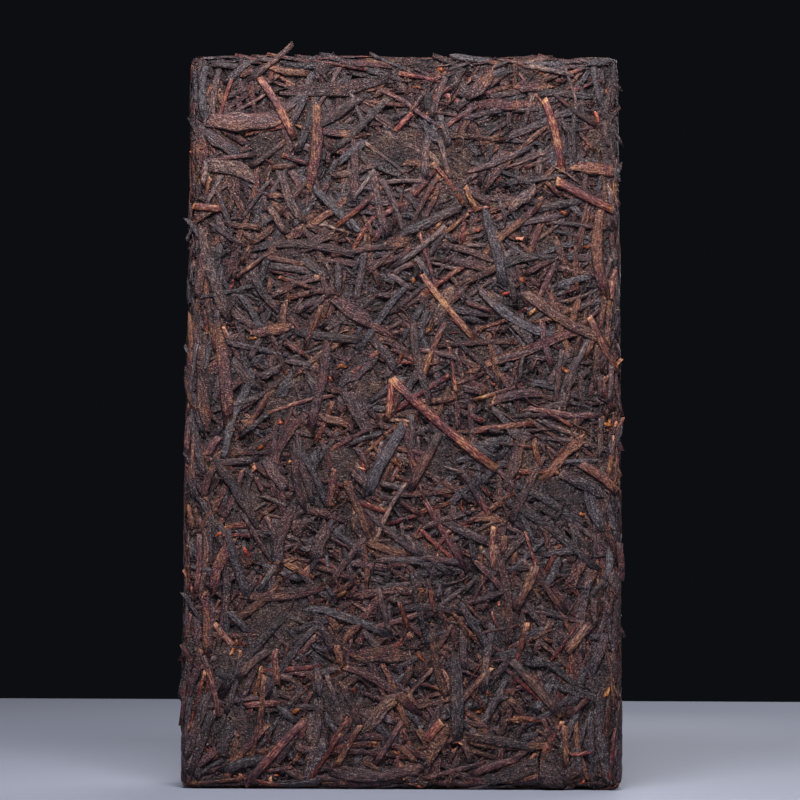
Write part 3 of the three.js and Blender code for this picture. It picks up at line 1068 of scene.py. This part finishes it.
def tea_material(
    name, slate, maroon, wrinkle, shares, rust=0.2, matted=False, ends=True, pale=0.5, bump=0.25, cast=0.48,
):
    """A dry plant skin. `shares` say how much wrinkles, crumbs, clouds and dust change a leaf's tone."""
    material, tree = new_material(name)
    fibre = add(tree, "Attribute", {"attribute_name": "fibre"}).outputs["Vector"]
    shade = add(tree, "Attribute", {"attribute_name": "tone"}).outputs["Fac"]
    place = add(tree, "TexCoord").outputs["Object"]
    place = add(tree, "VectorMath", {"operation": "SCALE"}, i0=place, Scale=1 / MM).outputs[0]
    along = add(tree, "Mapping", Vector=fibre, Scale=(0.2, 1.0, 0.0)).outputs["Vector"]
    grain = lumps(tree, along, wrinkle, 1.5)
    crumble = lumps(tree, place, CRUMBLE, 3.0, 0.75)
    dust = lumps(tree, place, DUST, 0.5)
    cloud = lumps(tree, place, CLOUD, 2.0)
    height = plus(tree, plus(tree, crumble, grain, 1.0), dust, 1.0)
    if matted:
        shade, height = with_fibres(tree, place, shade, height)
    # The same patterns are in the height, so this also paints shade into the hollows.
    for pattern, share in zip((grain, crumble, cloud, dust), shares):
        shade = plus(tree, shade, pattern, share)

    colour, redness = leaf_colour(tree, shade, cloud, slate, maroon, cast)
    if ends:
        colour = with_broken_ends(tree, colour, shade, redness, fibre)
    if rust:
        colour = with_rust(tree, colour, shade, redness, place, rust)
    colour = cover(tree, colour, linear(PALE_DUST), grade(tree, dust, 0.14, 0.22, pale))

    rough = grade(tree, crumble, -0.15, 0.15, RIDGE_ROUGH, HOLLOW_ROUGH)
    relief = add(tree, "Bump", Strength=1.0, Distance=bump * MM, Height=height).outputs["Normal"]
    look = {"Base_Color": colour, "Roughness": rough, "Normal": relief, "Specular_IOR_Level": 0.36}
    skin = add(tree, "BsdfPrincipled", **look)
    add(tree, "OutputMaterial", Surface=skin.outputs["BSDF"])
    return material


# %% [markdown]
# Each material is named for the real thing. They share the stops of leaf or of stem, and differ in how
# coarse the wrinkles are and how much each pattern shows.

# %% The materials
SLATE_LEAF = [
    (0.0, "#110c0f"), (0.22, "#272022"), (0.38, "#393034"),
    (0.6, "#4a4449"), (0.8, "#5c5559"), (1.0, "#7c7475"),
]
MAROON_LEAF = [
    (0.0, "#150c0d"), (0.22, "#301c1d"), (0.38, "#492a29"),
    (0.6, "#5f3b34"), (0.8, "#784a3e"), (1.0, "#a27058"),
]
SLATE_STEM = [(0.0, "#161113"), (0.3, "#392c2d"), (0.55, "#4f4142"), (0.8, "#655654"), (1.0, "#8c7a74")]
MAROON_STEM = [(0.0, "#1b1112"), (0.3, "#472827"), (0.55, "#673c34"), (0.8, "#855142"), (1.0, "#b37554")]
BUD_STOPS = [(0.0, "#3a2119"), (0.4, "#6e3f2b"), (0.7, "#a05c3c"), (1.0, "#d6926a")]

leaf = (SLATE_LEAF, MAROON_LEAF)
stem = (SLATE_STEM, MAROON_STEM)
bud = (BUD_STOPS, BUD_STOPS)
materials = {
    # Finely wrinkled along its length, with ridges that catch the light.
    "rolled": tea_material("dry_rolled_tea_leaf", *leaf, 0.42, (1.8, 1.0, 0.6, 1.0), pale=0.35, bump=0.32),
    # Coarsely crinkled and dusty, so it looks dull and leathery.
    "broad": tea_material("dry_broad_tea_leaf", *leaf, 0.5, (1.7, 1.1, 0.6, 1.2), bump=0.4),
    # Its paler torn edges speckle the dark mass.
    "chip": tea_material("broken_tea_leaf", *leaf, 0.42, (1.6, 1.2, 0.7, 1.2), bump=0.34),
    # Striped along its length, warm brown and almost free of dust.
    "twig": tea_material("dry_tea_stem", *stem, 0.36, (2.2, 0.7, 1.1, 0.6), rust=None, pale=0.3, bump=0.2),
    # Orange-brown, the brightest spots.
    "bud": tea_material("golden_tea_bud", *bud, 0.35, (1.2, 1.6, 1.5, 0.6), rust=None, ends=False),
    # Thin reddish lines.
    "fibre": tea_material("tea_stem_fibre", *stem, 0.3, (0.3, 0.8, 0.8, 0.6), rust=None, ends=False),
    # Lumpy all over, so the gaps it fills look soft and dark.
    "crumb": tea_material("tea_crumb", *leaf, 0.5, (0.3, 1.6, 1.0, 1.2), ends=False, bump=0.32),
}
for key, piece in pieces.items():
    piece.data.materials.append(materials[key[0] if isinstance(key, tuple) else key])
# Crossed fibres and creases make the mass look felted, and a little redder than the leaf on it.
shares = (0.0, 1.2, 0.9, 1.4)
matted_leaf = tea_material(
    "matted_tea_leaf", *leaf, 0.6, shares, matted=True, ends=False, pale=0.2, bump=0.5, cast=0.505,
)
core.data.materials.append(matted_leaf)
print("materials:", len(bpy.data.materials))

# %% [markdown]
# The brick stands on a plain, pale and matt floor. From here on sizes are in metres.

# %% Floor
FLOOR_HALF = 6.0
FLOOR_BACK = 0.58  # the floor ends this far behind the brick

floor_mesh = bpy.data.meshes.new("floor")
bm = bmesh.new()
bmesh.ops.create_grid(bm, x_segments=1, y_segments=1, size=FLOOR_HALF)
bmesh.ops.translate(bm, verts=bm.verts, vec=(0, FLOOR_BACK - FLOOR_HALF, 0))
bm.to_mesh(floor_mesh)
bm.free()
pale_floor, tree = new_material("pale_floor")
skin = add(tree, "BsdfPrincipled", Base_Color=linear("#8c90a1"), Roughness=0.9)
add(tree, "OutputMaterial", Surface=skin.outputs["BSDF"])
floor_mesh.materials.append(pale_floor)
new_object("floor", floor_mesh)

# %% [markdown]
# The room is dark. The key lamp hangs close above and in front, so the top of the brick is brighter
# than its foot, and weak fills stand at both sides. A large lamp behind lights the floor, and a
# gridded one the brick's back alone. The camera doesn't see the lamps themselves.

# %% Lamps
def softbox(name, place, aim, size, power, colour, spread=180):
    data = bpy.data.lights.new(name, "AREA")
    data.shape = "RECTANGLE"
    data.size, data.size_y = size
    data.energy = power
    data.spread = math.radians(spread)
    data.color = linear(colour)[:3]
    lamp = bpy.data.objects.new(name, data)
    direction = Vector(aim) - Vector(place)
    lamp.matrix_world = Matrix.Translation(place) @ direction.to_track_quat("-Z", "Y").to_matrix().to_4x4()
    lamp.visible_camera = False
    bpy.context.scene.collection.objects.link(lamp)
    print("lamp", name, "of", power, "W at", place)


softbox("key", (-0.03, -0.38, 0.6), (0, 0, 0.2), (0.4, 0.18), 6.4, "#ffffff")
softbox("fill_left", (-0.8, -0.5, 0.6), (0, 0, 0.2), (0.4, 0.4), 0.5, "#eef2ff")
softbox("fill_right", (0.8, -0.5, 0.6), (0, 0, 0.2), (0.4, 0.4), 0.5, "#eef2ff")
softbox("behind", (0.75, 0.95, 0.85), (0.05, 0, 0.05), (1.0, 0.8), 9.5, "#ffffff")
softbox("back", (0.12, 0.6, 0.18), (0, 0, 0.13), (0.25, 0.25), 0.15, "#ffffff", spread=45)

world = bpy.data.worlds.new("dark_room")
world.use_nodes = True
world.node_tree.nodes["Background"].inputs["Color"].default_value = linear("#0d0e11")
world.node_tree.nodes["Background"].inputs["Strength"].default_value = 1.0
bpy.context.scene.world = world
bpy.context.scene.view_settings.view_transform = "Standard"

# %% [markdown]
